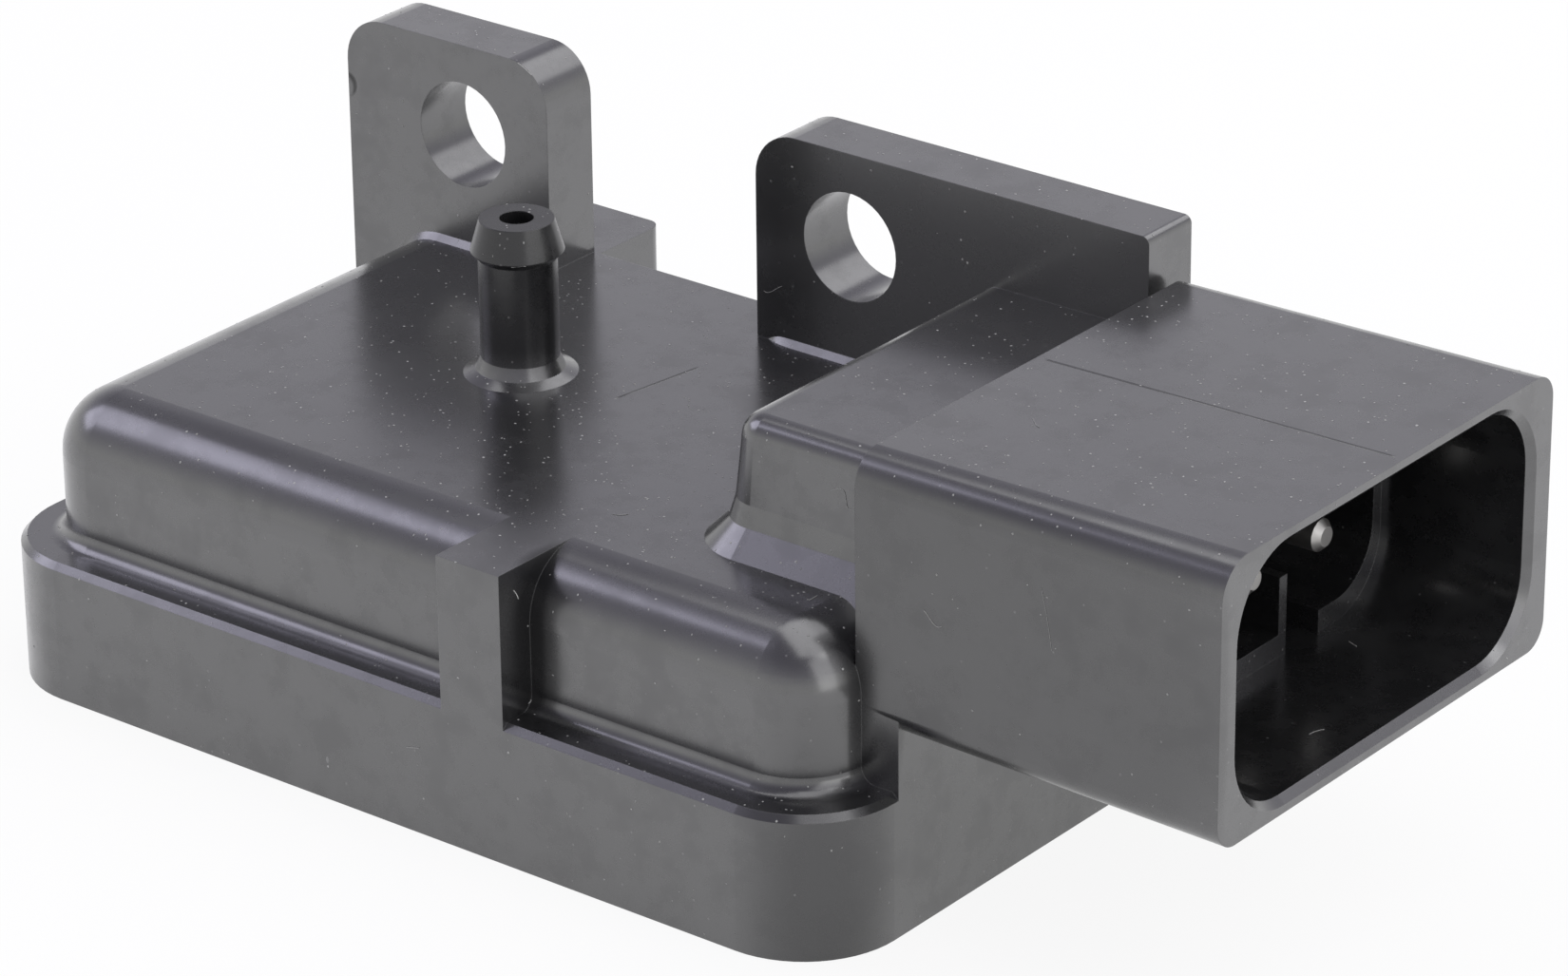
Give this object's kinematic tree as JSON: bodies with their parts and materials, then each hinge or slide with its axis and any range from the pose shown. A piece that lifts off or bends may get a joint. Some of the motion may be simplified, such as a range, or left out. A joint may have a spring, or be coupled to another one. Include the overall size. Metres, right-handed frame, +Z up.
{
  "type": "manifold absolute pressure sensor",
  "caption": "Black moulded manifold pressure sensor with a hose nipple, upright bolt ears and a rectangular connector socket.",
  "frame": {"origin": "middle of the flat underside of the tray, in the plane that the sensor rests on", "axes": "+X towards the connector's mouth, +Y towards the side that the ears are bolted by, +Z up along the hose nipple"},
  "size_m": [0.0879, 0.0464, 0.0322],
  "materials": {
    "housing_plastic": "satin black glass-filled nylon, fine moulded skin",
    "plate_plastic": "satin black nylon",
    "sealing_compound": "cured dark silicone bead",
    "board_laminate": "green solder mask on glass laminate",
    "tinned_brass": "bright tin plating",
    "cell_plastic": "dark moulding compound",
    "pedestal_glass": "clear ground glass",
    "silicon": "polished silicon",
    "tinned_leads": "dull tin plating",
    "seal_rubber": "black nitrile rubber",
    "chip_plastic": "black epoxy moulding compound",
    "capacitor_ceramic": "tan unglazed ceramic",
    "resistor_ceramic": "dark film on ceramic",
    "solder": "smooth tin solder"
  },
  "bodies": {
    "root": {"housing": "housing_plastic", "closing_plate": "plate_plastic", "plate_seal": "sealing_compound", "circuit_board": "board_laminate", "terminal_supply": "tinned_brass", "terminal_signal": "tinned_brass", "terminal_ground": "tinned_brass", "cell_body": "cell_plastic", "cell_cap": "cell_plastic", "cell_pedestal": "pedestal_glass", "sensing_die": "silicon", "cell_leads": "tinned_leads", "port_seal": "seal_rubber", "amplifier_chip": "chip_plastic", "amplifier_leads": "tinned_leads", "regulator_chip": "chip_plastic", "regulator_leads": "tinned_leads", "supply_capacitor": "capacitor_ceramic", "signal_capacitor": "capacitor_ceramic", "ground_capacitor": "capacitor_ceramic", "trim_resistors": "resistor_ceramic", "bridge_resistors": "resistor_ceramic", "solder_joints": "solder"}
  },
  "joints": []
}
